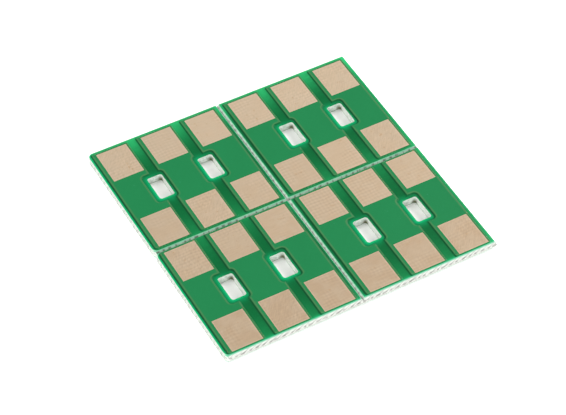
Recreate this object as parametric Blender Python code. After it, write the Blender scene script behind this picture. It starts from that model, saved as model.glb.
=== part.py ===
"""Scored panel of four bare solder junction boards for three-wire motor leads.

One glass-epoxy laminate carries everything. Two crossed V-scores divide it into four boards, so that
they snap apart by hand. The left and rear edges are routed, and the other two were snapped at a score.
Each board has three heavy copper strips, a solder mask over them with six windows, a thin finish on
the copper in each window, and two slots for a cable tie between the strips.

Metres, +Z up, +X along a row of three pads, origin at the centre of the underside.
"""

import math

import bmesh
import bpy
from mathutils import Matrix

MM = 0.001

# Panel
PANEL_X = 35.8 * MM
PANEL_Y = 36.0 * MM
BOARD_PITCH = 18.0 * MM
CORNER_RADIUS = 0.7 * MM  # on the routed left edge only
SCORE_X = -0.16 * MM  # the score that runs along Y
SCORE_Y = -0.11 * MM  # the score that runs along X
SCORE_HALF_WIDTH = 0.20 * MM
SCORE_DEPTH = 0.36 * MM
NOTCH_DEPTH = 0.2 * MM  # where the score along X meets the routed edge

# Layers, from the underside up
MASK_THICKNESS = 0.030 * MM
LAMINATE_THICKNESS = 1.000 * MM
COPPER_THICKNESS = 0.105 * MM
FINISH_THICKNESS = 0.006 * MM
BOND = 0.005 * MM  # left between one layer and the next
FINISH_BOND = 0.004 * MM

LAMINATE_Z0 = MASK_THICKNESS + BOND
LAMINATE_Z1 = LAMINATE_Z0 + LAMINATE_THICKNESS
COPPER_Z0 = LAMINATE_Z1 + BOND
COPPER_Z1 = COPPER_Z0 + COPPER_THICKNESS
FINISH_Z0 = COPPER_Z1 + FINISH_BOND
FINISH_Z1 = FINISH_Z0 + FINISH_THICKNESS
MASK_Z0 = COPPER_Z0
MASK_STEP_Z = MASK_Z0 + MASK_THICKNESS
MASK_POCKET_Z = COPPER_Z1 + BOND
MASK_Z1 = MASK_POCKET_Z + MASK_THICKNESS

# Copper strips
STRIP_PITCH = 6.0 * MM
STRIP_WIDTH = 4.6 * MM
STRIP_LENGTH = 17.0 * MM
COPPER_OFFSET = (-0.13 * MM, 0.0)

# Pads, which are the mask's windows
PAD_X = 4.0 * MM
PAD_Y = 5.0 * MM
PAD_ROW = 5.93 * MM  # from the board's middle to each row of pads
PAD_OFFSET = (0.0, -0.08 * MM)

# Cable-tie slots
SLOT_SPREAD = 3.4 * MM  # from the board's middle to each slot
SLOT_X = 1.95 * MM
SLOT_Y = 3.72 * MM
SLOT_RADIUS = 0.3 * MM
SLOT_OFFSET = (-0.03 * MM, 0.06 * MM)
CLEARING_X = 3.06 * MM  # the copper is etched back round each slot
CLEARING_Y = 5.0 * MM
CLEARING_RADIUS = 0.6 * MM

# Solder mask
MASK_TO_SCORE = 0.235 * MM
MASK_TO_LEFT_EDGE = 0.02 * MM
MASK_TO_REAR_EDGE = 0.10 * MM
MASK_TO_FRONT_EDGE = 0.35 * MM

ARC_STEPS = 4
BEYOND = 0.5 * MM  # how far a cutter runs past what it cuts

BOARDS = {
    "board_a": (-1, 1),
    "board_b": (1, 1),
    "board_c": (-1, -1),
    "board_d": (1, -1),
}
COLUMNS = {"left": -1, "middle": 0, "right": 1}
ROWS = {"rear": 1, "front": -1}


def clear_scene():
    for obj in list(bpy.data.objects):
        bpy.data.objects.remove(obj, do_unlink=True)


def new_collection(name):
    collection = bpy.data.collections.new(name)
    bpy.context.scene.collection.children.link(collection)
    return collection


def new_material(name, colour, roughness, metallic):
    material = bpy.data.materials.new(name)
    material.use_nodes = True
    shader = material.node_tree.nodes["Principled BSDF"]
    shader.inputs["Base Color"].default_value = (*colour, 1.0)
    shader.inputs["Roughness"].default_value = roughness
    shader.inputs["Metallic"].default_value = metallic
    return material


def arc(centre, radius, start, end, steps=ARC_STEPS):
    """Points on an arc between two angles in degrees, ends included."""
    angles = [math.radians(start + (end - start) * i / steps) for i in range(steps + 1)]
    return [(centre[0] + radius * math.cos(a), centre[1] + radius * math.sin(a)) for a in angles]


def rounded_rectangle(low, high, radii):
    """Anticlockwise outline; radii start at the low corner and go round anticlockwise."""
    corners = ((low[0], low[1], 180), (high[0], low[1], 270), (high[0], high[1], 0), (low[0], high[1], 90))
    points = []
    for (x, y, start), radius in zip(corners, radii):
        if radius == 0:
            points.append((x, y))
            continue
        inward_x = radius if x == low[0] else -radius
        inward_y = radius if y == low[1] else -radius
        points += arc((x + inward_x, y + inward_y), radius, start, start + 90)
    return points


def centred_rectangle(centre, width, depth, radius=0.0):
    low = (centre[0] - width / 2, centre[1] - depth / 2)
    high = (centre[0] + width / 2, centre[1] + depth / 2)
    return rounded_rectangle(low, high, (radius,) * 4)


def plate(name, outline, z0, z1, collection):
    """Flat piece between two heights."""
    curve = bpy.data.curves.new(name + "_outline", "CURVE")
    curve.dimensions = "2D"
    curve.fill_mode = "BOTH"
    curve.extrude = (z1 - z0) / 2
    spline = curve.splines.new("POLY")
    spline.points.add(len(outline) - 1)
    for point, (x, y) in zip(spline.points, outline):
        point.co = (x, y, 0.0, 1.0)
    spline.use_cyclic_u = True
    flat = bpy.data.objects.new(name + "_outline", curve)
    flat.location.z = (z0 + z1) / 2
    collection.objects.link(flat)
    bpy.context.view_layer.update()
    evaluated = flat.evaluated_get(bpy.context.evaluated_depsgraph_get())
    mesh = bpy.data.meshes.new_from_object(evaluated)
    mesh.name = name
    shell = bmesh.new()
    shell.from_mesh(mesh)
    bmesh.ops.remove_doubles(shell, verts=shell.verts, dist=0.1 * FINISH_THICKNESS)
    bmesh.ops.recalc_face_normals(shell, faces=shell.faces)
    shell.to_mesh(mesh)
    shell.free()
    obj = bpy.data.objects.new(name, mesh)
    obj.matrix_world = flat.matrix_world
    collection.objects.link(obj)
    bpy.data.objects.remove(flat)
    bpy.data.curves.remove(curve)
    return obj


def as_cutter(obj):
    obj.hide_render = True
    obj.display_type = "WIRE"
    return obj


def combine(obj, other, operation):
    modifier = obj.modifiers.new(operation.lower() + "_" + other.name, "BOOLEAN")
    modifier.object = other
    modifier.operation = operation
    modifier.solver = "EXACT"


def finished_mesh(obj):
    """The mesh of a shape that several pieces share, with its modifiers and its height in it."""
    bpy.context.view_layer.update()
    evaluated = obj.evaluated_get(bpy.context.evaluated_depsgraph_get())
    mesh = bpy.data.meshes.new_from_object(evaluated)
    mesh.transform(obj.matrix_world)
    return mesh


def place(name, mesh, material, parent, centre, collection):
    obj = bpy.data.objects.new(name, mesh)
    if not mesh.materials:
        mesh.materials.append(material)
    collection.objects.link(obj)
    obj.parent = parent
    obj.location = (*centre, 0.0)
    return obj


def score_cutter(name, z_tip, z_open, along_x, offset, collection):
    """Long three-sided prism whose edge is the bottom of a V-score."""
    length = max(PANEL_X, PANEL_Y) + 4 * BEYOND
    slope = SCORE_HALF_WIDTH / SCORE_DEPTH
    half_width = slope * abs(z_open - z_tip)
    outline = [(-half_width, z_open), (half_width, z_open), (0.0, z_tip)]
    if z_open > z_tip:
        outline.reverse()
    shell = bmesh.new()
    ends = [[shell.verts.new((x, u, v)) for u, v in outline] for x in (-length / 2, length / 2)]
    shell.faces.new(ends[0])
    shell.faces.new(reversed(ends[1]))
    for i in range(3):
        j = (i + 1) % 3
        shell.faces.new((ends[0][j], ends[0][i], ends[1][i], ends[1][j]))
    bmesh.ops.recalc_face_normals(shell, faces=shell.faces)
    mesh = bpy.data.meshes.new(name)
    shell.to_mesh(mesh)
    shell.free()
    obj = bpy.data.objects.new(name, mesh)
    if not along_x:
        obj.matrix_world = Matrix.Rotation(math.pi / 2, 4, "Z")
    obj.location = (0.0, offset, 0.0) if along_x else (offset, 0.0, 0.0)
    collection.objects.link(obj)
    return as_cutter(obj)


def laminate_outline():
    """Square-cornered but for the left edge, which has rounded corners and a notch at the score."""
    left, right = -PANEL_X / 2, PANEL_X / 2
    front, back = -PANEL_Y / 2, PANEL_Y / 2
    points = rounded_rectangle((left, front), (right, back), (CORNER_RADIUS, 0, 0, CORNER_RADIUS))
    lip_angle = math.degrees(math.acos(1 - NOTCH_DEPTH / CORNER_RADIUS))
    lip_rise = CORNER_RADIUS * math.sin(math.radians(lip_angle))
    for side in (1, -1):
        centre = (left + CORNER_RADIUS, SCORE_Y + side * (SCORE_HALF_WIDTH + lip_rise))
        near, far = (180, 180 + lip_angle) if side == 1 else (180 - lip_angle, 180)
        points += arc(centre, CORNER_RADIUS, near, far, 3)
    return points


def slot_cutters(board, cutters):
    """One cutter for each of a board's two slots, through every layer."""
    middle_x, middle_y = board_centre(board)
    found = []
    for name, side in (("left", -1), ("right", 1)):
        centre = (middle_x + SLOT_OFFSET[0] + side * SLOT_SPREAD, middle_y + SLOT_OFFSET[1])
        outline = centred_rectangle(centre, SLOT_X, SLOT_Y, SLOT_RADIUS)
        slot = plate(f"{board}_slot_{name}", outline, -BEYOND, MASK_Z1 + BEYOND, cutters)
        found.append(as_cutter(slot))
    return found


def board_centre(board):
    side_x, side_y = BOARDS[board]
    return (side_x * BOARD_PITCH / 2, side_y * BOARD_PITCH / 2)


def make_laminate(material, slots, parts, cutters):
    laminate = plate("fr4_laminate", laminate_outline(), LAMINATE_Z0, LAMINATE_Z1, parts)
    laminate.data.materials.append(material)
    for slot in slots:
        combine(laminate, slot, "DIFFERENCE")
    scores = [
        ("score_along_y", False, SCORE_X),
        ("score_right_edge", False, PANEL_X / 2),
        ("score_along_x", True, SCORE_Y),
        ("score_front_edge", True, -PANEL_Y / 2),
    ]
    faces = {
        "top": (LAMINATE_Z1 - SCORE_DEPTH, LAMINATE_Z1 + BEYOND),
        "bottom": (LAMINATE_Z0 + SCORE_DEPTH, LAMINATE_Z0 - BEYOND),
    }
    for name, along_x, offset in scores:
        for face, (z_tip, z_open) in faces.items():
            cutter = score_cutter(name + "_" + face, z_tip, z_open, along_x, offset, cutters)
            combine(laminate, cutter, "DIFFERENCE")


def clearing_centres(column):
    """Middles of the etched clearings that reach a strip, from the strip's own middle."""
    sides = [side for side in (-1, 1) if abs(COLUMNS[column] - side) <= 1]
    return [(side * SLOT_SPREAD - COLUMNS[column] * STRIP_PITCH, SLOT_OFFSET[1]) for side in sides]


def strip_shape(name, column, grow, z0, z1, collection, cutters):
    """A copper strip's shape with its edges moved out by grow."""
    width, length = STRIP_WIDTH + 2 * grow, STRIP_LENGTH + 2 * grow
    strip = plate(name, centred_rectangle((0, 0), width, length), z0, z1, collection)
    for index, centre in enumerate(clearing_centres(column)):
        outline = centred_rectangle(
            centre, CLEARING_X - 2 * grow, CLEARING_Y - 2 * grow, CLEARING_RADIUS - grow
        )
        clearing = plate(f"{name}_clearing_{index + 1}", outline, z0 - BEYOND, z1 + BEYOND, cutters)
        combine(strip, as_cutter(clearing), "DIFFERENCE")
    return strip


def strip_centre(column):
    return (COLUMNS[column] * STRIP_PITCH + COPPER_OFFSET[0], COPPER_OFFSET[1])


def pad_centre(row, column):
    return (COLUMNS[column] * STRIP_PITCH + PAD_OFFSET[0], ROWS[row] * PAD_ROW + PAD_OFFSET[1])


def mask_outline(board):
    """Outline of a board's solder mask, from the board's middle."""
    side_x, side_y = BOARDS[board]
    middle_x, middle_y = board_centre(board)
    if side_x < 0:
        low_x, high_x = -PANEL_X / 2 + MASK_TO_LEFT_EDGE, SCORE_X - MASK_TO_SCORE
        radii = (CORNER_RADIUS, 0, 0, CORNER_RADIUS)
    else:
        low_x, high_x = SCORE_X + MASK_TO_SCORE, PANEL_X / 2 - MASK_TO_SCORE
        radii = (0, 0, 0, 0)
    if side_y < 0:
        low_y, high_y = -PANEL_Y / 2 + MASK_TO_FRONT_EDGE, SCORE_Y - MASK_TO_SCORE
    else:
        low_y, high_y = SCORE_Y + MASK_TO_SCORE, PANEL_Y / 2 - MASK_TO_REAR_EDGE
    low = (low_x - middle_x, low_y - middle_y)
    high = (high_x - middle_x, high_y - middle_y)
    return rounded_rectangle(low, high, radii)


def make_mask(name, board, z0, z1, parent, material, slots, parts):
    """Flat film over one board, open at the slots."""
    mask = plate(name, mask_outline(board), z0, z1, parts)
    mask.data.materials.append(material)
    mask.parent = parent
    for slot in slots:
        combine(mask, slot, "DIFFERENCE")
    return mask


def drape(mask, board, parent, shapes):
    """Raises the film over the copper strips and opens a window over each pad."""
    for shape, operation in shapes:
        cutter = bpy.data.objects.new(f"{board}_{shape.name}", shape.data)
        shape.users_collection[0].objects.link(cutter)
        cutter.parent = parent
        cutter.location = shape.location
        combine(mask, as_cutter(cutter), operation)


def mask_shapes(cutters):
    """What is added to and cut from the flat film, each about the board's middle."""
    shapes = []
    steps = (
        ("cap", BOND + MASK_THICKNESS, MASK_Z0, MASK_Z1, "UNION"),
        ("pocket", BOND, MASK_Z0 - BEYOND, MASK_POCKET_Z, "DIFFERENCE"),
    )
    for kind, grow, z0, z1, operation in steps:
        for column in COLUMNS:
            solid = strip_shape(f"{kind}_{column}", column, grow, z0, z1, cutters, cutters)
            shape = bpy.data.objects.new(f"{kind}_{column}_shape", finished_mesh(solid))
            cutters.objects.link(shape)
            shape.location = (*strip_centre(column), 0.0)
            shapes.append((as_cutter(shape), operation))
            as_cutter(solid)
    for row in ROWS:
        for column in COLUMNS:
            outline = centred_rectangle((0, 0), PAD_X, PAD_Y)
            window = plate(f"window_{row}_{column}", outline, COPPER_Z1, MASK_Z1 + BEYOND, cutters)
            window.location.x, window.location.y = pad_centre(row, column)
            shapes.append((as_cutter(window), "DIFFERENCE"))
    return shapes


def main():
    clear_scene()
    parts = new_collection("solder_junction_panel")
    cutters = new_collection("cutters")

    laminate = new_material("glass_epoxy", (0.80, 0.80, 0.75), 0.6, 0.0)
    copper = new_material("copper_foil", (0.72, 0.42, 0.26), 0.4, 1.0)
    mask = new_material("green_solder_mask", (0.02, 0.26, 0.09), 0.35, 0.0)
    finish = new_material("pad_finish", (0.62, 0.48, 0.33), 0.45, 0.6)

    slots = {board: slot_cutters(board, cutters) for board in BOARDS}
    make_laminate(laminate, [slot for pair in slots.values() for slot in pair], parts, cutters)

    strip_meshes = {}
    for column in COLUMNS:
        strip = strip_shape("strip_" + column, column, 0.0, COPPER_Z0, COPPER_Z1, cutters, cutters)
        strip_meshes[column] = finished_mesh(as_cutter(strip))
    pad_outline = centred_rectangle((0, 0), PAD_X - 2 * BOND, PAD_Y - 2 * BOND)
    pad = plate("pad", pad_outline, FINISH_Z0, FINISH_Z1, cutters)
    pad_mesh = finished_mesh(as_cutter(pad))
    shapes = mask_shapes(cutters)

    for board in BOARDS:
        middle = bpy.data.objects.new(board, None)
        middle.location = (*board_centre(board), 0.0)
        parts.objects.link(middle)
        for column, mesh in strip_meshes.items():
            place(f"{board}_copper_{column}", mesh, copper, middle, strip_centre(column), parts)
        for row in ROWS:
            for column in COLUMNS:
                name = f"{board}_pad_{row}_{column}"
                place(name, pad_mesh, finish, middle, pad_centre(row, column), parts)
        top = make_mask(
            board + "_mask_top", board, MASK_Z0, MASK_STEP_Z, middle, mask, slots[board], parts
        )
        drape(top, board, middle, shapes)
        make_mask(board + "_mask_bottom", board, 0.0, MASK_THICKNESS, middle, mask, slots[board], parts)


main()
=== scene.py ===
"""Looks of the scored panel of four solder junction boards.

The laminate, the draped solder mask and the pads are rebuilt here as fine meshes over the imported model.
The copper strips and the mask on the underside stay as packed, with finer materials.
Lengths are in millimetres until a mesh is made.
"""

import itertools
import math

import bpy
import numpy as np
from mathutils import Matrix, Vector, noise
from mathutils.geometry import delaunay_2d_cdt


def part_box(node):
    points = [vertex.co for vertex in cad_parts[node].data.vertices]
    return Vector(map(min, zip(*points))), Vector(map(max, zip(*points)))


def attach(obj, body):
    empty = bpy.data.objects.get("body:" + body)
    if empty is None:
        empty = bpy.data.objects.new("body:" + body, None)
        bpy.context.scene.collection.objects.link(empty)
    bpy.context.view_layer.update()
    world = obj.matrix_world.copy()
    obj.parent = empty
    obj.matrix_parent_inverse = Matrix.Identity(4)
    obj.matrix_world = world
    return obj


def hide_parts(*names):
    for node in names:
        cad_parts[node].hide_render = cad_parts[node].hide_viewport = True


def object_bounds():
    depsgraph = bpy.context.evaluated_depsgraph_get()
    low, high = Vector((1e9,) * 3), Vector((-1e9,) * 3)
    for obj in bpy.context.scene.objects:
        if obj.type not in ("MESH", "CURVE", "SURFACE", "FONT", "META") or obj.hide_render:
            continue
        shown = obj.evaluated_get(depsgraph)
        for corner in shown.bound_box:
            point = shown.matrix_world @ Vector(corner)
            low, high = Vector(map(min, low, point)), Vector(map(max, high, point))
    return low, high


MM = 0.001

CAMERA_PLACE = (-91.38, -164.18, 204.37)
CAMERA_AIM = (-0.883, -0.190, 0.0)
CAMERA_ROLL = math.radians(-0.143)
CAMERA_LENS = 148.1

BOARDS = ("board_a", "board_b", "board_c", "board_d")
COLUMNS = ("left", "middle", "right")
ROWS = ("rear", "front")

# Scores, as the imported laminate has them
SCORE_HALF = 0.20
SCORE_DEPTH = 0.36
CORNER_RADIUS = 0.7
NOTCH_DEPTH = 0.2
SLOT_RADIUS = 0.3
YARN_PITCH = 0.88
PAD_WEAVE_PITCH = 0.47
WALL_LEVELS = (0.2, 0.4, 0.6, 0.78, 0.9)

# Copper under the mask
STRIP_CORNER = 0.12
CLEARING_HALF = (1.53, 2.5)
CLEARING_SHIFT = (-0.10, 0.0)
CLEARING_RADIUS = 0.6
WINDOW_GAP = 0.005
PAD_REACH = 15.0  # from the panel's middle to its outer rows of pads
FILM = 0.030

FOOT = -0.17  # where the film starts to climb, outside the strip's edge
CREST = 0.03
SHOULDER = 0.10
COVER = 0.012  # the least height of the film's points over copper
THINNEST = 0.006  # the least height of the film's points over bare laminate
RINGS_FROM = FOOT - 0.14  # loose points between these two give way to the rings and corner patches
RINGS_TO = 0.05


# Plan geometry


def box(node):
    low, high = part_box(node)
    return np.array(low) / MM, np.array(high) / MM


def smooth(value, start, end):
    """0 before start, 1 after end, and a smooth rise between."""
    t = np.clip((value - start) / (end - start), 0.0, 1.0)
    return t * t * (3 - 2 * t)


def depth_in(points, low, high, radius=0.0):
    """How far each point is inside a rounded rectangle; negative outside."""
    middle = (np.array(low) + np.array(high)) / 2
    half = (np.array(high) - np.array(low)) / 2 - radius
    past = np.abs(points - middle) - half
    outside = np.linalg.norm(np.maximum(past, 0.0), axis=1)
    return radius - outside - np.minimum(past.max(axis=1), 0.0)


def arc(centre, radius, start, end, steps):
    angles = np.radians(np.linspace(start, end, steps + 1))
    out = np.column_stack((np.cos(angles), np.sin(angles)))
    return np.array(centre) + radius * out, out


def rounded_loop(low, high, radii, step):
    """Points anticlockwise round a rectangle, and which way is out at each; a radius may be 0."""
    corners = (
        (low[0], low[1], 180, (1, 1)),
        (high[0], low[1], 270, (-1, 1)),
        (high[0], high[1], 0, (-1, -1)),
        (low[0], high[1], 90, (1, -1)),
    )
    turns = []
    for (x, y, start, inward), radius in zip(corners, radii):
        if radius == 0:
            angle = math.radians(start + 45)
            turns.append((np.array([[x, y]]), np.array([[math.cos(angle), math.sin(angle)]])))
        else:
            centre = (x + inward[0] * radius, y + inward[1] * radius)
            turns.append(arc(centre, radius, start, start + 90, 6))
    points, outs = [], []
    for index, (turn, out) in enumerate(turns):
        points.append(turn)
        outs.append(out)
        following = turns[(index + 1) % 4][0][0]
        run = following - turn[-1]
        count = max(int(round(np.linalg.norm(run) / step)), 1)
        along = np.linspace(0, 1, count + 1)[1:-1, None]
        side = np.array([run[1], -run[0]]) / np.linalg.norm(run)
        points.append(turn[-1] + along * run)
        outs.append(np.repeat(side[None, :], len(along), axis=0))
    return np.concatenate(points), np.concatenate(outs)


def grid(low, high, step):
    xs = np.arange(low[0] + step / 2, high[0], step)
    ys = np.arange(low[1] + step / 2, high[1], step)
    across, along = np.meshgrid(xs, ys)
    return np.column_stack((across.ravel(), along.ravel()))


def in_loop(points, loop):
    """Even-odd test against a closed loop of points."""
    inside = np.zeros(len(points), dtype=bool)
    x, y = points[:, 0], points[:, 1]
    for (x0, y0), (x1, y1) in zip(loop, np.roll(loop, -1, axis=0)):
        if y0 == y1:
            continue
        crosses = (y0 > y) != (y1 > y)
        inside ^= crosses & (x < x0 + (y - y0) * (x1 - x0) / (y1 - y0))
    return inside


def thin_out(points, spacing):
    cells = np.round(points / spacing).astype(int)
    kept = np.unique(cells, axis=0, return_index=True)[1]
    return points[np.sort(kept)]


def triangulate(border, holes, inner):
    """Points and triangles that fill the border, but for the holes."""
    loops = [border, *holes]
    edges = []
    start = 0
    for loop in loops:
        ring = np.arange(len(loop)) + start
        edges += list(zip(ring.tolist(), np.roll(ring, -1).tolist()))
        start += len(loop)
    inputs = np.concatenate([*loops, inner])
    vectors = [Vector(point) for point in inputs.tolist()]
    found, _, faces, *_ = delaunay_2d_cdt(vectors, edges, [], 0, 1e-5)
    points = np.array([tuple(point) for point in found])
    triangles = np.array([face for face in faces if len(face) == 3])
    middles = points[triangles].mean(axis=1)
    keep = in_loop(middles, border)
    for hole in holes:
        keep &= ~in_loop(middles, hole)
    triangles = triangles[keep]
    used = np.unique(triangles)
    renumber = np.full(len(points), -1)
    renumber[used] = np.arange(len(used))
    return points[used], renumber[triangles]


# Meshes


def make_solid(name, points, triangles, top, bottom, levels=(), push=None):
    """Closed mesh between two heights over one plan.

    The walls have a ring of points at each of the levels, as fractions of the way down, and
    push(x, y, z) gives how far such a point moves outwards. Returns the object, each vertex's plan
    point and each vertex's fraction of the way down.
    """
    count = len(points)
    edges = np.concatenate([triangles[:, pair] for pair in ([0, 1], [1, 2], [2, 0])])
    codes = edges[:, 0] * count + edges[:, 1]
    reverse = edges[:, 1] * count + edges[:, 0]
    rim = edges[~np.isin(codes, reverse)]
    outs = np.zeros((count, 2))
    run = points[rim[:, 1]] - points[rim[:, 0]]
    side = np.column_stack((run[:, 1], -run[:, 0]))
    side /= np.linalg.norm(side, axis=1)[:, None]
    np.add.at(outs, rim[:, 0], side)
    np.add.at(outs, rim[:, 1], side)
    on_rim = np.unique(rim)
    outs[on_rim] /= np.linalg.norm(outs[on_rim], axis=1)[:, None]

    vertices = [np.column_stack((points, top)), np.column_stack((points, bottom))]
    sources = [np.arange(count), np.arange(count)]
    fractions = [np.zeros(count), np.ones(count)]
    rows = [np.arange(count)]
    start = 2 * count
    for fraction in levels:
        ring = points[on_rim]
        height = top[on_rim] + fraction * (bottom[on_rim] - top[on_rim])
        if push is not None:
            shift = np.array([push(x, y, z) for (x, y), z in zip(ring, height)])
            ring = ring + shift[:, None] * outs[on_rim]
        vertices.append(np.column_stack((ring, height)))
        sources.append(on_rim)
        fractions.append(np.full(len(on_rim), fraction))
        row = np.full(count, -1)
        row[on_rim] = np.arange(len(on_rim)) + start
        rows.append(row)
        start += len(on_rim)
    rows.append(np.arange(count) + count)

    faces = triangles.tolist() + (triangles[:, ::-1] + count).tolist()
    for upper, lower in zip(rows, rows[1:]):
        first, second = rim[:, 0], rim[:, 1]
        walls = np.column_stack((upper[first], lower[first], lower[second], upper[second]))
        faces += walls.tolist()
    mesh = bpy.data.meshes.new(name)
    mesh.from_pydata((np.concatenate(vertices) * MM).tolist(), [], faces)
    mesh.polygons.foreach_set("use_smooth", np.ones(len(faces), dtype=bool))
    mesh.set_sharp_from_angle(angle=math.radians(40))
    mesh.update()
    obj = bpy.data.objects.new(name, mesh)
    bpy.context.scene.collection.objects.link(obj)
    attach(obj, "root")
    return obj, np.concatenate(sources), np.concatenate(fractions)


def obj_heights(obj):
    points = np.empty(len(obj.data.vertices) * 3)
    obj.data.vertices.foreach_get("co", points)
    return points[2::3] / MM


def store(obj, name, values):
    attribute = obj.data.attributes.new(name, "FLOAT", "POINT")
    attribute.data.foreach_set("value", np.asarray(values, dtype=np.float32))


# Nodes


class Nodes:
    """A material's node tree, written as expressions."""

    def __init__(self, name):
        self.material = bpy.data.materials.new(name)
        self.material.use_nodes = True
        self.tree = self.material.node_tree
        self.shader = self.tree.nodes["Principled BSDF"]
        place = self.add("ShaderNodeTexCoord").outputs["Object"]
        self.place = self.vector("MULTIPLY", place, (1 / MM, 1 / MM, 1 / MM))

    def add(self, kind, **settings):
        node = self.tree.nodes.new(kind)
        for key, value in settings.items():
            setattr(node, key, value)
        return node

    def feed(self, socket, value):
        if isinstance(value, bpy.types.NodeSocket):
            self.tree.links.new(value, socket)
        else:
            socket.default_value = value

    def math(self, operation, first, second=0.0, third=0.0):
        node = self.add("ShaderNodeMath", operation=operation)
        for socket, value in zip(node.inputs, (first, second, third)):
            self.feed(socket, value)
        return node.outputs[0]

    def vector(self, operation, first, second=(0.0, 0.0, 0.0)):
        node = self.add("ShaderNodeVectorMath", operation=operation)
        self.feed(node.inputs[0], first)
        self.feed(node.inputs[1], second)
        return node.outputs[0]

    def split(self, value):
        node = self.add("ShaderNodeSeparateXYZ")
        self.feed(node.inputs[0], value)
        return node.outputs

    def join(self, x, y, z=0.0):
        node = self.add("ShaderNodeCombineXYZ")
        for socket, value in zip(node.inputs, (x, y, z)):
            self.feed(socket, value)
        return node.outputs[0]

    def attribute(self, name):
        return self.add("ShaderNodeAttribute", attribute_name=name).outputs["Fac"]

    def noise(self, where, scale, detail=2.0, roughness=0.5):
        node = self.add("ShaderNodeTexNoise")
        self.feed(node.inputs["Vector"], where)
        node.inputs["Scale"].default_value = scale
        node.inputs["Detail"].default_value = detail
        node.inputs["Roughness"].default_value = roughness
        return node.outputs["Fac"]

    def cells(self, where, randomness):
        node = self.add("ShaderNodeTexVoronoi", voronoi_dimensions="2D", feature="F1")
        self.feed(node.inputs["Vector"], where)
        node.inputs["Scale"].default_value = 1.0
        node.inputs["Randomness"].default_value = randomness
        return node.outputs

    def span(self, value, low, high, to_low=0.0, to_high=1.0):
        node = self.add("ShaderNodeMapRange", interpolation_type="SMOOTHSTEP")
        for socket, given in zip(node.inputs, (value, low, high, to_low, to_high)):
            self.feed(socket, given)
        return node.outputs[0]

    def mix(self, factor, first, second, blend="MIX"):
        node = self.add("ShaderNodeMix", data_type="RGBA", blend_type=blend)
        self.feed(node.inputs[0], factor)
        self.feed(node.inputs[6], first)
        self.feed(node.inputs[7], second)
        return node.outputs[2]

    def grey(self, value):
        return self.join(value, value, value)

    def turned(self, degrees, stretch):
        """Position turned about Z, then scaled along each axis."""
        node = self.add("ShaderNodeVectorRotate", rotation_type="Z_AXIS")
        self.feed(node.inputs["Vector"], self.place)
        node.inputs["Angle"].default_value = math.radians(degrees)
        return self.vector("MULTIPLY", node.outputs[0], stretch)

    def weave(self, pitch):
        """Rises and dips of plain-woven cloth, from -1 to 1."""
        wander = self.noise(self.place, 0.7, 1.0)
        x, y, _ = self.split(self.place)
        turn = math.pi / pitch
        x = self.math("MULTIPLY_ADD", wander, 0.25, x)
        y = self.math("MULTIPLY_ADD", wander, -0.25, y)
        across = self.math("COSINE", self.math("MULTIPLY", x, turn))
        along = self.math("COSINE", self.math("MULTIPLY", y, turn))
        return self.math("MULTIPLY", across, along)

    def square_weave(self, pitch):
        """Grid of rises of one pitch along both axes, from -1 to 1."""
        wander = self.noise(self.place, 0.6, 1.0)
        x, y, _ = self.split(self.place)
        turn = 2 * math.pi / pitch
        x = self.math("MULTIPLY_ADD", wander, 0.5, x)
        y = self.math("MULTIPLY_ADD", wander, -0.5, y)
        across = self.math("COSINE", self.math("MULTIPLY", x, turn))
        along = self.math("COSINE", self.math("MULTIPLY", y, turn))
        return self.math("MULTIPLY_ADD", along, 0.6, self.math("MULTIPLY", across, 0.4))

    def yarn_ends(self, run, wander, low, high):
        """Blots at the pitch of the yarns, unevenly spread, from 0 to 1."""
        blur = self.noise(self.join(self.math("MULTIPLY", run, 0.9), wander), 1.0, 2.0)
        phase = self.math("MULTIPLY_ADD", blur, 2.0, self.math("DIVIDE", run, YARN_PITCH))
        wave = self.math("COSINE", self.math("MULTIPLY", phase, 2 * math.pi))
        uneven = self.noise(self.join(self.math("MULTIPLY", run, 2.3), wander), 1.0, 2.0)
        wave = self.math("MULTIPLY_ADD", self.math("SUBTRACT", uneven, 0.5), 3.0, wave)
        return self.span(wave, low, high)

    def bump(self, height, distance):
        node = self.add("ShaderNodeBump")
        node.inputs["Strength"].default_value = 1.0
        node.inputs["Distance"].default_value = distance
        self.feed(node.inputs["Height"], height)
        self.feed(self.shader.inputs["Normal"], node.outputs[0])

    def set(self, **values):
        for key, value in values.items():
            self.feed(self.shader.inputs[key.replace("_", " ")], value)


def colour(red, green, blue):
    """Linear colour from the usual 0 to 255 values."""
    parts = []
    for value in (red, green, blue):
        value /= 255
        parts.append(value / 12.92 if value <= 0.04045 else ((value + 0.055) / 1.055) ** 2.4)
    return (*parts, 1.0)


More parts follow.
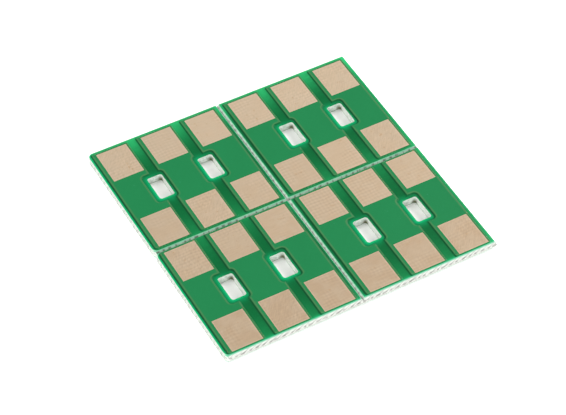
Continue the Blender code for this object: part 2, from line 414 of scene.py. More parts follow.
def mask_material():
    """Glossy green film: paler over copper, dark where it pools, olive where it thins over an edge, with
    painted shade on the slopes that face left and painted light near the cut edges and slots.
    """
    nodes = Nodes("green_solder_mask_film")
    over_copper = nodes.attribute("over_copper")
    thin = nodes.attribute("thin")
    pooled_and_shaded = nodes.attribute("pooled_and_shaded")
    glow = nodes.attribute("glow")
    halo = nodes.attribute("halo")
    weave = nodes.weave(0.44)
    cloud = nodes.noise(nodes.place, 0.25, 3.0)
    grain = nodes.noise(nodes.place, 9.0, 3.0)
    base = nodes.mix(over_copper, colour(2, 96, 48), colour(29, 122, 71))
    # painted light: brighter green where light comes through the laminate, near the cut edges, the boards'
    # ends and round the slots
    base = nodes.mix(glow, base, colour(46, 186, 110))
    base = nodes.mix(halo, base, colour(2, 192, 122))
    # dark where the film pools at a copper edge's foot, and painted shade on the slopes that face left
    base = nodes.mix(pooled_and_shaded, base, colour(2, 74, 38))
    base = nodes.mix(thin, base, colour(68, 123, 76))
    speck = nodes.span(nodes.noise(nodes.place, 3.6, 2.0), 0.70, 0.78)
    shown = nodes.span(nodes.noise(nodes.place, 0.35, 1.0), 0.50, 0.62, 0.0, 0.22)
    base = nodes.mix(nodes.math("MULTIPLY", speck, shown), base, colour(96, 180, 150))
    tone = nodes.math("MULTIPLY_ADD", weave, 0.010, 1.0)
    tone = nodes.math("MULTIPLY_ADD", nodes.math("SUBTRACT", cloud, 0.5), 0.10, tone)
    tone = nodes.math("MULTIPLY_ADD", nodes.math("SUBTRACT", grain, 0.5), 0.12, tone)
    base = nodes.mix(1.0, base, nodes.grey(tone), "MULTIPLY")
    nodes.set(Base_Color=base, Specular_IOR_Level=0.13, IOR=1.5)
    nodes.set(Roughness=nodes.span(grain, 0.3, 0.7, 0.30, 0.38))
    height = nodes.math("MULTIPLY_ADD", weave, 0.35, nodes.math("MULTIPLY", grain, 0.5))
    nodes.bump(height, 0.0016 * MM)
    return nodes.material


def underside_material():
    nodes = Nodes("green_solder_mask_flat")
    weave = nodes.weave(0.44)
    cloud = nodes.noise(nodes.place, 0.25, 3.0)
    grain = nodes.noise(nodes.place, 9.0, 3.0)
    tone = nodes.math("MULTIPLY_ADD", weave, 0.03, 1.0)
    tone = nodes.math("MULTIPLY_ADD", nodes.math("SUBTRACT", cloud, 0.5), 0.2, tone)
    base = nodes.mix(1.0, colour(22, 118, 66), nodes.grey(tone), "MULTIPLY")
    nodes.set(Base_Color=base, Specular_IOR_Level=0.35, IOR=1.5)
    nodes.set(Roughness=nodes.span(grain, 0.3, 0.7, 0.30, 0.40))
    height = nodes.math("MULTIPLY_ADD", weave, 0.5, nodes.math("MULTIPLY", grain, 0.5))
    nodes.bump(height, 0.002 * MM)
    return nodes.material


def laminate_material():
    """Cut glass cloth in clear resin: white, with the ends of the yarns as greyer spots, and painted shade in
    the score grooves, on the slot walls and on some outer walls.
    """
    nodes = Nodes("glass_epoxy_cut")
    cut = nodes.attribute("cut")
    along_x = nodes.attribute("along_x")
    lip = nodes.attribute("lip")
    deep = nodes.attribute("deep")
    inside = nodes.attribute("inside")
    x, y, z = nodes.split(nodes.place)
    run = nodes.math("ADD", nodes.math("MULTIPLY", x, along_x),
                     nodes.math("MULTIPLY", y, nodes.math("SUBTRACT", 1.0, along_x)))
    slant = nodes.math("MULTIPLY_ADD", z, 0.55, run)
    yarns = nodes.join(nodes.math("DIVIDE", slant, YARN_PITCH), nodes.math("DIVIDE", z, 0.26))
    spots = nodes.span(nodes.cells(yarns, 0.55)["Distance"], 0.16, 0.42, 1.0, 0.0)
    fibre_place = nodes.join(nodes.math("MULTIPLY", slant, 6.0), nodes.math("MULTIPLY", z, 30.0))
    fibres = nodes.noise(fibre_place, 1.0, 3.0)
    ply = nodes.noise(nodes.join(nodes.math("MULTIPLY", run, 0.9), nodes.math("MULTIPLY", z, 14.0)), 1.0, 2.0)
    grain = nodes.noise(nodes.place, 22.0, 3.0)
    mottle = nodes.noise(nodes.place, 3.0, 3.0)
    dark = nodes.math("MULTIPLY", spots, nodes.span(fibres, 0.35, 0.62))
    dark = nodes.math("MULTIPLY", dark, nodes.attribute("broken"))
    # painted shade: the score grooves turn grey as they deepen, more so where they run along X
    groove = nodes.mix(along_x, colour(190, 196, 188), colour(176, 184, 174))
    # painted shade: a darker white on the left, rear and right outer walls
    wall = nodes.mix(nodes.attribute("shaded_wall"), colour(230, 233, 226), colour(216, 221, 212))
    base = nodes.mix(deep, wall, groove)
    base = nodes.mix(lip, base, nodes.mix(along_x, colour(118, 216, 170), colour(94, 194, 150)))
    darkness = nodes.math("MULTIPLY", dark, nodes.math("MULTIPLY_ADD", deep, 0.65, 0.12))
    base = nodes.mix(darkness, base, colour(112, 100, 88))
    blots = nodes.math("MULTIPLY", nodes.yarn_ends(run, 0.0, 0.2, 0.9), nodes.attribute("scored"))
    strength = nodes.math("MULTIPLY_ADD", along_x, 0.34, 0.32)
    base = nodes.mix(nodes.math("MULTIPLY", blots, strength), base, colour(84, 78, 64))
    base = nodes.mix(nodes.math("MULTIPLY", nodes.span(ply, 0.52, 0.70), 0.15), base, colour(205, 208, 198))
    # painted shade on the slot walls, darkest on the far wall
    shade = nodes.mix(nodes.span(mottle, 0.35, 0.65), colour(204, 216, 206), colour(232, 239, 233))
    base = nodes.mix(inside, base, shade)
    # grey dashes along the lower part of the routed walls
    dashes = nodes.yarn_ends(nodes.math("MULTIPLY_ADD", z, -0.6, run), 3.0, -0.1, 1.0)
    routed_wall_dashes = nodes.math("MULTIPLY", nodes.attribute("routed_wall_dashes"), dashes)
    base = nodes.mix(nodes.math("MULTIPLY", routed_wall_dashes, 0.6), base, colour(110, 108, 106))
    # dark olive at the foot of a slot's far wall and in its far right corner: partly a resin smear, partly
    # painted shade
    base = nodes.mix(nodes.attribute("smear_and_shade"), base, colour(96, 96, 70))
    # dark slanting streaks on the snapped faces: ripped fibres of the broken web, with painted shade among
    # them
    lean = nodes.math("MULTIPLY_ADD", z, -2.6, run)
    torn_and_shaded = nodes.math("MULTIPLY", nodes.yarn_ends(lean, 7.0, -0.1, 1.1), nodes.attribute("torn_and_shaded"))
    base = nodes.mix(nodes.math("MULTIPLY", torn_and_shaded, 0.75), base, colour(112, 108, 102))
    ledge = nodes.math("MULTIPLY", nodes.yarn_ends(run, 11.0, -0.5, 0.7), nodes.attribute("ledge"))
    base = nodes.mix(nodes.math("MULTIPLY", ledge, 0.6), base, colour(120, 118, 112))
    tone = nodes.math("MULTIPLY_ADD", nodes.math("SUBTRACT", grain, 0.5), 0.18, 1.0)
    base = nodes.mix(cut, base, nodes.mix(1.0, base, nodes.grey(tone), "MULTIPLY"))
    nodes.set(Base_Color=base, Specular_IOR_Level=0.3, IOR=1.5)
    nodes.set(Roughness=nodes.span(grain, 0.3, 0.7, 0.55, 0.75))
    height = nodes.math("MULTIPLY_ADD", fibres, 0.6, nodes.math("MULTIPLY", grain, 0.4))
    nodes.bump(height, 0.006 * MM)
    return nodes.material


def pad_material():
    """Dull tan finish on rolled foil, with the cloth beneath showing through and wipe marks, and painted
    shade that darkens the pads nearer the front.
    """
    nodes = Nodes("pad_finish_matt")
    rim = nodes.attribute("rim")
    wiped = nodes.attribute("wiped")
    tone_of_pad = nodes.attribute("tone")
    front_shade_of_pad = nodes.attribute("stain_and_front_shade")
    weave = nodes.square_weave(PAD_WEAVE_PITCH)
    patch = nodes.noise(nodes.place, 0.55, 2.0)
    streaks = nodes.noise(nodes.turned(0, (0.8, 5.5, 1.0)), 1.0, 4.0, 0.6)
    wipes = nodes.noise(nodes.turned(-52, (1.1, 7.5, 1.0)), 1.0, 2.0, 0.6)
    speck = nodes.noise(nodes.place, 6.5, 4.0, 0.7)
    scratch = nodes.noise(nodes.turned(-38, (0.55, 16.0, 1.0)), 1.0, 1.0)
    stain = nodes.noise(nodes.place, 1.3, 3.0, 0.6)
    # painted shade: the pads nearer the front are darker
    base = nodes.mix(front_shade_of_pad, colour(193, 171, 144), colour(178, 154, 126))
    base = nodes.mix(nodes.span(patch, 0.35, 0.65, 0.0, 0.25), base, colour(190, 174, 152))
    shown = nodes.span(nodes.noise(nodes.place, 0.32, 1.0), 0.40, 0.62)
    tone = nodes.math("MULTIPLY_ADD", nodes.math("MULTIPLY", weave, shown), 0.075, tone_of_pad)
    tone = nodes.math("MULTIPLY_ADD", nodes.math("SUBTRACT", streaks, 0.5), 0.17, tone)
    tone = nodes.math("MULTIPLY_ADD", nodes.math("SUBTRACT", speck, 0.5), 0.16, tone)
    marks = nodes.math("MULTIPLY", nodes.math("SUBTRACT", wipes, 0.5), wiped)
    tone = nodes.math("MULTIPLY_ADD", marks, 0.55, tone)
    base = nodes.mix(1.0, base, nodes.grey(tone), "MULTIPLY")
    # stains, heavier on wiped pads
    stain_and_front_shade = nodes.math("MULTIPLY", nodes.span(stain, 0.62, 0.78), nodes.math("MULTIPLY_ADD", wiped, 0.5, 0.5))
    base = nodes.mix(stain_and_front_shade, base, colour(172, 138, 98))
    line = nodes.math("MULTIPLY", nodes.span(scratch, 0.70, 0.76), nodes.span(patch, 0.5, 0.6, 0.0, 0.45))
    base = nodes.mix(line, base, colour(160, 132, 100))
    base = nodes.mix(nodes.math("MULTIPLY", rim, 0.7), base, colour(226, 190, 168))
    nodes.set(Base_Color=base, Metallic=0.35, Specular_IOR_Level=0.4)
    nodes.set(Roughness=nodes.span(speck, 0.3, 0.7, 0.48, 0.60))
    height = nodes.math("MULTIPLY_ADD", streaks, 0.4, nodes.math("MULTIPLY", speck, 0.6))
    nodes.bump(height, 0.0015 * MM)
    return nodes.material


def copper_material():
    nodes = Nodes("copper_foil_etched")
    grain = nodes.noise(nodes.place, 12.0, 4.0, 0.6)
    streaks = nodes.noise(nodes.turned(0, (1.2, 18.0, 18.0)), 1.0, 2.0)
    base = nodes.mix(nodes.span(grain, 0.3, 0.7), colour(196, 128, 92), colour(222, 156, 116))
    nodes.set(Base_Color=base, Metallic=1.0)
    nodes.set(Roughness=nodes.span(streaks, 0.3, 0.7, 0.32, 0.5))
    nodes.bump(grain, 0.002 * MM)
    return nodes.material


# Pieces


def slot_boxes(board):
    """Low and high corners of a board's two slots, left first, from the film on its underside."""
    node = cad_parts[board + "_mask_bottom"]
    points = np.array([tuple(vertex.co) for vertex in node.data.vertices])[:, :2] / MM
    low, high = points.min(axis=0), points.max(axis=0)
    inner = points[(points > low + 1.0).all(axis=1) & (points < high - 1.0).all(axis=1)]
    middle = inner[:, 0].mean()
    found = []
    for chosen in (inner[inner[:, 0] < middle], inner[inner[:, 0] > middle]):
        found.append((chosen.min(axis=0), chosen.max(axis=0)))
    return found


def groove(points, scores, panel):
    """Fraction of a score's depth at each point, and whether the nearest score runs along X."""
    (low, high), (score_x, score_y) = panel, scores
    along_y = np.minimum(np.abs(points[:, 0] - score_x), np.abs(points[:, 0] - high[0]))
    along_x = np.minimum(np.abs(points[:, 1] - score_y), np.abs(points[:, 1] - low[1]))
    nearest = np.minimum(along_x, along_y)
    return np.clip(1 - nearest / SCORE_HALF, 0, 1), (along_x < along_y).astype(float), nearest


def laminate_border(low, high, score_y):
    """Square but for the routed left edge, with its rounded corners and the notch at the score."""
    loop = rounded_loop(low, high, (CORNER_RADIUS, 0, 0, CORNER_RADIUS), 0.14)[0]
    lip = math.degrees(math.acos(1 - NOTCH_DEPTH / CORNER_RADIUS))
    rise = CORNER_RADIUS * math.sin(math.radians(lip))
    keep = (loop[:, 0] > low[0] + 0.01) | (np.abs(loop[:, 1] - score_y) > SCORE_HALF + rise + 0.05)
    loop = loop[keep]
    notch = []
    for side in (1, -1):
        centre = (low[0] + CORNER_RADIUS, score_y + side * (SCORE_HALF + rise))
        near, far = (180, 180 + lip) if side == 1 else (180 - lip, 180)
        notch.append(arc(centre, CORNER_RADIUS, near, far, 4)[0])
    return np.concatenate([loop, *notch])


def place_in_slot(points, slots):
    """Position across and along the nearest slot, from -1 to 1."""
    middles = np.array([(low + high) / 2 for low, high in slots])
    halves = np.array([(high - low) / 2 for low, high in slots])
    nearest = np.linalg.norm(points[:, None, :] - middles[None, :, :], axis=2).argmin(axis=1)
    return ((points - middles[nearest]) / halves[nearest]).T


def make_laminate(material, slots, scores):
    low, high = box("fr4_laminate")
    panel = (low[:2], high[:2])
    score_x, score_y = scores
    border = laminate_border(*panel, score_y)
    holes = []
    inner = [grid(*panel, 1.5)]
    for slot_low, slot_high in slots:
        holes.append(rounded_loop(slot_low, slot_high, (SLOT_RADIUS,) * 4, 0.22)[0])
        inner.append(rounded_loop(slot_low - 0.1, slot_high + 0.1, (SLOT_RADIUS + 0.1,) * 4, 0.3)[0])
    steps = (0.0, 0.05, 0.10, 0.15, 0.20, 0.25)
    ys = np.arange(panel[0][1], panel[1][1], 0.16)
    xs = np.arange(panel[0][0], panel[1][0], 0.16)
    for step in steps:
        for x in {score_x - step, score_x + step, panel[1][0] - step}:
            inner.append(np.column_stack((np.full(len(ys), x), ys)))
        for y in {score_y - step, score_y + step, panel[0][1] + step}:
            inner.append(np.column_stack((xs, np.full(len(xs), y))))
    inner = thin_out(np.concatenate(inner), 0.025)
    inner = inner[depth_in(inner, *panel, CORNER_RADIUS) > 0.02 * (inner[:, 0] < 0)]
    inner = inner[depth_in(inner, *panel) > 0.02]
    inner = inner[in_loop(inner, border)]
    near_notch = (inner[:, 0] < low[0] + NOTCH_DEPTH + 0.04) & (np.abs(inner[:, 1] - score_y) < 1.0)
    inner = inner[~near_notch]
    for slot_low, slot_high in slots:
        inner = inner[depth_in(inner, slot_low, slot_high, SLOT_RADIUS) < -0.04]
    points, triangles = triangulate(border, holes, inner)

    fraction, along_x, nearest = groove(points, scores, panel)
    along_x = np.where((points[:, 0] < low[0] + 0.1) & (fraction == 0), 0.0, along_x)
    run = np.where(along_x > 0.5, points[:, 0], points[:, 1])
    relief = np.zeros(len(points))
    for index in np.flatnonzero(fraction > 0.02):
        x, y = points[index]
        yarn = math.cos(2 * math.pi * run[index] / YARN_PITCH)
        fray = noise.fractal(Vector((x * 5, y * 5, 3.0)), 0.8, 2.0, 3)
        relief[index] = 0.012 * yarn * (1 - fraction[index]) + 0.022 * fray
    relief *= np.minimum(fraction * 4, 1)
    depth = SCORE_DEPTH * fraction
    top = high[2] - np.maximum(depth + relief, 0)
    bottom = low[2] + np.maximum(depth - relief, 0)

    def push(x, y, z):
        routed = x < low[0] + 0.75 or y > high[1] - 0.1
        in_slot = depth_in(np.array([[x, y]]), *panel)[0] > 1.0
        if routed or in_slot:
            return -0.006 * abs(noise.noise(Vector((x * 3, y * 3, z * 16))))
        fray = noise.fractal(Vector((x * 4 + z * 3, y * 4 + z * 3, z * 9)), 0.8, 2.0, 3)
        return -0.04 * (1 + max(-1.0, min(1.0, fray)))

    obj, source, level = make_solid("laminate_cut", points, triangles, top, bottom, WALL_LEVELS, push)
    at_rim = np.zeros(len(points))
    edge = depth_in(points, *panel) < 0.02
    at_rim[edge] = 1.0
    routed = edge & ((points[:, 0] < low[0] + 0.75) | (points[:, 1] > high[1] - 0.1))
    slot_depth = np.max([depth_in(points, *slot, SLOT_RADIUS) for slot in slots], axis=0)
    in_slot = slot_depth > -0.02
    on_wall = (level > 0) & (level < 1)
    cut = np.maximum(fraction > 0, np.maximum(at_rim, in_slot))
    broken = np.where(routed, 0.25, np.where(in_slot, 0.12, 1.0))
    across, along = place_in_slot(points, slots)
    far = smooth(along, 0.85, 0.95)
    corner = smooth(across, 0.85, 0.95) * smooth(along, 0.60, 0.95)
    # resin smear and painted shade along the far wall and into the far right corner
    smear_and_shade = np.maximum(far * (0.2 + 0.8 * smooth(across, 0.2, 0.9)), corner) * in_slot
    store(obj, "smear_and_shade", smooth(level, 0.15, 0.80) * smear_and_shade[source])
    # painted shade on the slot walls, strongest on the far wall
    store(obj, "inside", np.where(on_wall, (in_slot * (0.35 + 0.65 * far))[source], 0.0))
    # grey dashes low on the routed walls
    store(obj, "routed_wall_dashes", smooth(level, 0.55, 0.80) * (1 - smooth(level, 0.85, 1.0)) * routed[source])
    store(obj, "cut", cut[source])
    store(obj, "along_x", along_x[source])
    wide = 0.75 * smooth(nearest, 0.03, 0.18)
    narrow = 0.75 * smooth(nearest, 0.09, 0.19)
    lip = np.where(fraction > 0, np.where(along_x > 0.5, wide, narrow), 0.0)
    near_edge = depth_in(points, *panel) < SCORE_HALF - 0.01
    lip = np.where(near_edge, 0.35 * smooth(nearest, 0.14, 0.20), lip)
    lip = np.where(nearest >= SCORE_HALF, 1.0, lip)
    lip = np.where(in_slot | routed, 0.15, lip)
    height = obj_heights(obj)
    snapped = (at_rim[source] > 0.5) & ~routed[source]
    outer = near_edge[source]
    # the band of the snapped walls that takes the broken web's streaks and their painted shade
    band = smooth(height, 0.48, 0.60) * (1 - 0.6 * smooth(height, 0.72, 0.86))
    store(obj, "torn_and_shaded", band * np.maximum(snapped, outer * (fraction > 0.1)[source]))
    ledge = smooth(height, 0.46, 0.56) * (1 - smooth(height, 0.70, 0.80))
    store(obj, "ledge", ledge * np.maximum(snapped, outer))
    # walls darkened with painted shade: the left, rear and right ones
    shaded_wall = routed | (points[:, 0] > high[0] - SCORE_HALF)
    store(obj, "shaded_wall", shaded_wall[source] * (level > 0))
    # how far down a score groove, which sets the painted shade there; weak at the panel's outer edges
    store(obj, "deep", smooth(fraction, 0.3, 0.9)[source] * np.where(outer, 0.12, 1.0))
    store(obj, "scored", smooth(fraction, 0.05, 0.4)[source] * ~outer)
    store(obj, "lip", np.where(on_wall, 0.0, lip[source]))
    store(obj, "broken", broken[source])
    obj.data.materials.append(material)
    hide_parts("fr4_laminate")
    return obj


def strip_depth(points, strips, clearings):
    """How far each point is inside the copper; negative outside."""
    found = np.full(len(points), -9.0)
    for low, high in strips:
        found = np.maximum(found, depth_in(points, low, high, STRIP_CORNER))
    for low, high in clearings:
        found = np.minimum(found, -depth_in(points, low, high, CLEARING_RADIUS))
    return found


def light_through(points, low, high, panel, slots, from_slot):
    """Light that reaches the film through the laminate: far from its cut edges, and close to them."""
    x, y = points[:, 0], points[:, 1]
    from_left, from_right = x - panel[0][0], panel[1][0] - x
    from_rear = panel[1][1] - y
    from_end = np.maximum(np.minimum(y - low[1], high[1] - y), 0)
    from_side = np.minimum(x - low[0], high[0] - x)
    glow = 0.60 * np.exp(-from_right / 0.8) + 0.50 * np.exp(-((from_rear / 2.9) ** 1.9))
    glow += 0.20 * np.exp(-((from_end / 2.6) ** 1.8)) + 0.15 * np.exp(-from_end / 0.15)
    middles = np.array([(slot_low + slot_high) / 2 for slot_low, slot_high in slots])
    toward = middles[None, :, :] - points[:, None, :]
    nearest = np.abs(toward[:, :, 0]).argmin(axis=1)
    toward = toward[np.arange(len(points)), nearest] / (1.0, 1.9)
    toward /= np.linalg.norm(toward, axis=1)[:, None]
    lit = 0.60 + 0.29 * toward.sum(axis=1)
    halo = lit * np.exp(-np.maximum(from_slot, 0) / 0.33)
    halo += 0.75 * np.exp(-((from_left / 0.28) ** 2)) + 0.25 * np.exp(-from_side / 0.10)
    if low[1] - panel[0][1] < 1.0:
        halo += 0.45 * np.exp(-(((y - low[1]) / 0.16) ** 2))
    return glow, halo


def make_film(board, material, slots, panel):
    """The solder mask on a board's face, draped over the copper, with a window over each pad."""
    node = board + "_mask_top"
    low, high = box(node)
    routed = abs(low[0] - panel[0][0]) < 0.1
    radii = (CORNER_RADIUS, 0, 0, CORNER_RADIUS) if routed else (0, 0, 0, 0)
    border, border_out = rounded_loop(low[:2], high[:2], radii, 0.45)
    strips = []
    for column in COLUMNS:
        strip_low, strip_high = box(f"{board}_copper_{column}")
        strips.append((strip_low[:2], strip_high[:2]))
    copper_top = box(f"{board}_copper_middle")[1][2]
    clearings = []
    holes = []
    inner = [grid(low[:2], high[:2], 0.9)]
    for slot_low, slot_high in slots:
        middle = (slot_low + slot_high) / 2 + CLEARING_SHIFT
        clearings.append((middle - CLEARING_HALF, middle + CLEARING_HALF))
        loop, out = rounded_loop(slot_low, slot_high, (SLOT_RADIUS,) * 4, 0.3)
        holes.append(loop)
        inner += [loop + step * out for step in (0.04, 0.10, 0.2, 0.35)]
    windows = []
    for row in ROWS:
        for column in COLUMNS:
            pad_low, pad_high = box(f"{board}_pad_{row}_{column}")
            window = (pad_low[:2] - WINDOW_GAP, pad_high[:2] + WINDOW_GAP)
            windows.append(window)
            loop, out = rounded_loop(*window, (0, 0, 0, 0), 0.4)
            holes.append(loop)
            miter = np.where(np.abs(out).min(axis=1) > 0.5, math.sqrt(2), 1.0)[:, None]
            inner += [loop + step * miter * out for step in (0.03, 0.08)]
    miter = np.where((np.abs(border_out).min(axis=1) > 0.6), math.sqrt(2), 1.0)[:, None]
    inner += [border - step * miter * border_out for step in (0.04, 0.1, 0.2, 0.4)]
    inner = np.concatenate(inner)
    near = strip_depth(inner, strips, clearings)
    inner = [inner[(near < RINGS_FROM) | (near > RINGS_TO)]]
    patch = grid((-0.125, -0.125), (0.125, 0.125), 0.05)
    for (strip_low, strip_high), (clear_low, clear_high) in itertools.product(strips, clearings):
        for x, y in itertools.product((strip_low[0], strip_high[0]), (clear_low[1], clear_high[1])):
            if clear_low[0] < x < clear_high[0]:
                inner.append(patch + (x, y))
    for outline, radius in [(strip, STRIP_CORNER) for strip in strips] + [
        (clearing, CLEARING_RADIUS) for clearing in clearings
    ]:
        sign = 1 if radius == STRIP_CORNER else -1
        loop, out = rounded_loop(*outline, (radius,) * 4, 0.4)
        for step in (FOOT - 0.12, FOOT - 0.03, -0.14, -0.10, -0.06, -0.02, CREST, 0.06, SHOULDER, 0.2):
            moved = loop - sign * step * out
            off = np.abs(strip_depth(moved, strips, clearings) - step)
            inner.append(moved[off < 0.012])
    inner = thin_out(np.concatenate(inner), 0.02)
    inner = inner[depth_in(inner, low[:2], high[:2]) > 0.03]
    inner = inner[in_loop(inner, border)]
    for slot_low, slot_high in slots:
        inner = inner[depth_in(inner, slot_low, slot_high, SLOT_RADIUS) < -0.03]
    for window in windows:
        inner = inner[depth_in(inner, *window) < -0.02]
    points, triangles = triangulate(border, holes, inner)

    depth = strip_depth(points, strips, clearings)
    from_edge = depth_in(points, low[:2], high[:2])
    from_slot = -np.max([depth_in(points, *slot, SLOT_RADIUS) for slot in slots], axis=0)
    from_window = -np.max([depth_in(points, *window) for window in windows], axis=0)
    flat = low[2] + FILM
    step_up = high[2] - flat
    rise = 0.93 * smooth(depth, FOOT, CREST) + 0.07 * smooth(depth, CREST, SHOULDER)
    top = flat + step_up * rise
    wave = np.array([noise.noise(Vector((x * 1.7, y * 1.7, 0.0))) for x, y in points])
    top -= 0.002 * (1 + wave)
    roll = 1 - smooth(np.minimum(from_edge, from_slot), 0.0, 0.09)
    top -= 0.010 * roll
    top -= 0.008 * (1 - smooth(from_window, 0.0, 0.07))
    under = np.where(depth > -0.03, copper_top + WINDOW_GAP, low[2])
    top = np.maximum(top, np.where(depth > -0.07, copper_top + COVER, low[2] + THINNEST))
    obj, source, _ = make_solid(board + "_mask_film", points, triangles, top, under)

    over_copper = smooth(depth, -0.10, 0.05)
    ahead = strip_depth(points + np.array([0.02, 0.0]), strips, clearings)
    behind = strip_depth(points + np.array([0.0, 0.02]), strips, clearings)
    faces_left = smooth((ahead - depth) / 0.02, -0.6, 1.0)
    faces_rear = smooth((depth - behind) / 0.02, 0.2, 1.0)
    thin = smooth(depth, -0.10, 0.0) * (1 - smooth(depth, 0.05, 0.16)) * (1 - 0.7 * faces_rear)
    # the film pools at the foot of a copper edge; the extra weight on slopes that face left is painted shade
    pooled_and_shaded = smooth(depth, -0.34, -0.18) * (1 - smooth(depth, -0.12, -0.03)) * (0.1 + 0.8 * faces_left)
    # painted light through the laminate, for the film's colour
    glow, halo = light_through(points, low, high, panel, slots, from_slot)
    store(obj, "over_copper", over_copper[source])
    store(obj, "thin", thin[source])
    store(obj, "pooled_and_shaded", pooled_and_shaded[source])
    store(obj, "glow", (np.clip(glow, 0, 1) * (1 - over_copper))[source])
    store(obj, "halo", (np.clip(halo, 0, 1) * (1 - over_copper))[source])
    obj.data.materials.append(material)
    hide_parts(node)
    return obj


def make_pad(node, index, material):
    """A pad's finish, dished by the cloth under the copper."""
    low, high = box(node)
    border = rounded_loop(low[:2], high[:2], (0.03,) * 4, 0.2)[0]
    inner = [grid(low[:2], high[:2], 0.26)]
    edges = rounded_loop(low[:2] + 0.05, high[:2] - 0.05, (0.03,) * 4, 0.2)[0]
    inner = np.concatenate([*inner, edges])
    inner = inner[depth_in(inner, low[:2], high[:2]) > 0.04]
    points, triangles = triangulate(border, [], inner)
    turn = 2 * math.pi / YARN_PITCH
    weave = 0.4 * np.cos(points[:, 0] * turn) + 0.6 * np.cos(points[:, 1] * turn)
    inside = depth_in(points, low[:2], high[:2], 0.03)
    top = high[2] - 0.0016 * (1 - weave) / 2 - 0.002 * (1 - smooth(inside, 0.0, 0.05))
    bottom = np.full(len(points), low[2])
    obj, source, _ = make_solid(node + "_finish", points, triangles, top, bottom)
    chance = np.random.default_rng(index)
    store(obj, "tone", np.full(len(source), 1.0 + chance.uniform(-0.02, 0.02)))
    store(obj, "wiped", np.full(len(source), chance.choice([0.0, 0.1, 0.25, 0.7])))
    # pads nearer the front get the darker colour, as painted shade
    forward = (PAD_REACH - (low[1] + high[1]) / 2) / (2 * PAD_REACH)
    store(obj, "stain_and_front_shade", np.full(len(source), forward))
    store(obj, "rim", (1 - smooth(inside, 0.02, 0.07))[source])
    obj.data.materials.append(material)
    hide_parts(node)
    return obj


# Stage


def make_camera():
    data = bpy.data.cameras.new("camera")
    data.lens = CAMERA_LENS
    data.clip_start = 0.01
    data.clip_end = 20
    camera = bpy.data.objects.new("camera", data)
    place, aim = Vector(CAMERA_PLACE) * MM, Vector(CAMERA_AIM) * MM
    turn = (aim - place).to_track_quat("-Z", "Y").to_matrix().to_4x4()
    camera.matrix_world = Matrix.Translation(place) @ turn @ Matrix.Rotation(CAMERA_ROLL, 4, "Z")
    bpy.context.scene.collection.objects.link(camera)
    bpy.context.scene.camera = camera


def make_light(name, place, size, power):
    data = bpy.data.lights.new(name, "AREA")
    data.shape = "DISK"
    data.size = size
    data.energy = power
    light = bpy.data.objects.new(name, data)
    place = Vector(place)
    turn = (-place).to_track_quat("-Z", "Y").to_matrix().to_4x4()
    light.matrix_world = Matrix.Translation(place) @ turn
    bpy.context.scene.collection.objects.link(light)


def make_floor():
    nodes = Nodes("pale_table")
    grain = nodes.noise(nodes.place, 0.4, 4.0)
    base = nodes.mix(grain, colour(250, 250, 250), colour(252, 252, 252))
    x, y, _ = nodes.split(nodes.place)
    past_x = nodes.math("SUBTRACT", nodes.math("ABSOLUTE", x), cad_high[0] / MM)
    past_y = nodes.math("SUBTRACT", nodes.math("ABSOLUTE", y), cad_high[1] / MM)
    past = nodes.math("MAXIMUM", past_x, past_y)
    # painted shade: the floor under the panel is a little greyer
    base = nodes.mix(nodes.span(past, -0.6, -0.3), colour(244, 244, 242), base)
    nodes.set(Base_Color=base, Roughness=0.6, Specular_IOR_Level=0.1)
    near_glow = nodes.span(past, -0.5, 0.1, 0.0, 0.35)
    far_glow = nodes.span(past, 150.0, 900.0, 0.0, 0.4)
    glow = nodes.math("ADD", near_glow, far_glow)
    nodes.set(Emission_Color=(1.0, 1.0, 1.0, 1.0), Emission_Strength=glow)
    mesh = bpy.data.meshes.new("floor")
    reach = 3.0
    corners = [(-reach, -reach, 0), (reach, -reach, 0), (reach, reach, 0), (-reach, reach, 0)]
    mesh.from_pydata(corners, [], [(0, 1, 2, 3)])
    mesh.materials.append(nodes.material)
    floor = bpy.data.objects.new("floor", mesh)
    floor.location.z = -0.01 * MM
    bpy.context.scene.collection.objects.link(floor)


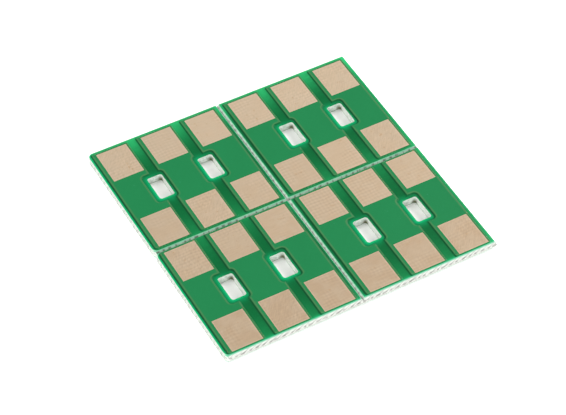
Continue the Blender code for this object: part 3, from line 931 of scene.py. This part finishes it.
def make_world():
    world = bpy.data.worlds.new("studio")
    world.use_nodes = True
    tree = world.node_tree
    place = tree.nodes.new("ShaderNodeTexCoord")
    split = tree.nodes.new("ShaderNodeSeparateXYZ")
    ramp = tree.nodes.new("ShaderNodeValToRGB")
    tree.links.new(place.outputs["Generated"], split.inputs[0])
    tree.links.new(split.outputs[2], ramp.inputs[0])
    ramp.color_ramp.elements[0].position = 0.1
    ramp.color_ramp.elements[0].color = (1.0, 1.0, 1.0, 1.0)
    ramp.color_ramp.elements[1].position = 0.5
    ramp.color_ramp.elements[1].color = (0.30, 0.30, 0.30, 1.0)
    back = tree.nodes["Background"]
    tree.links.new(ramp.outputs[0], back.inputs["Color"])
    back.inputs["Strength"].default_value = 1.0
    bpy.context.scene.world = world


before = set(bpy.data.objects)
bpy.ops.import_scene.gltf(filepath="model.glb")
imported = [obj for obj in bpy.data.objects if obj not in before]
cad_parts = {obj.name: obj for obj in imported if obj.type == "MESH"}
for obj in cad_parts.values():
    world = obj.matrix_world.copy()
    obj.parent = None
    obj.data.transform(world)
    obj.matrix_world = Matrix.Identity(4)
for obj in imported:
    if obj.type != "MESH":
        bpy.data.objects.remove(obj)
cad_low, cad_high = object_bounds()


def main():
    scene = bpy.context.scene
    scene.view_settings.view_transform = "Standard"
    make_camera()
    make_world()
    make_floor()
    make_light("key", (0.32, 0.08, 0.26), 0.22, 1.5)
    make_light("fill", (-0.20, 0.14, 0.30), 0.30, 0.55)
    make_light("front_fill", (-0.16, -0.34, 0.22), 0.30, 0.75)

    panel_low, panel_high = box("fr4_laminate")
    panel = (panel_low[:2], panel_high[:2])
    front_left, rear_right = box("board_c_mask_top"), box("board_b_mask_top")
    scores = ((front_left[1] + rear_right[0]) / 2)[:2]
    slots = {board: slot_boxes(board) for board in BOARDS}

    mask = mask_material()
    underside = underside_material()
    copper = copper_material()
    finish = pad_material()
    make_laminate(laminate_material(), [slot for pair in slots.values() for slot in pair], scores)
    index = 0
    for board in BOARDS:
        make_film(board, mask, slots[board], panel)
        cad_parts[board + "_mask_bottom"].material_slots[0].material = underside
        for column in COLUMNS:
            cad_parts[f"{board}_copper_{column}"].material_slots[0].material = copper
            for row in ROWS:
                index += 1
                make_pad(f"{board}_pad_{row}_{column}", index, finish)


main()
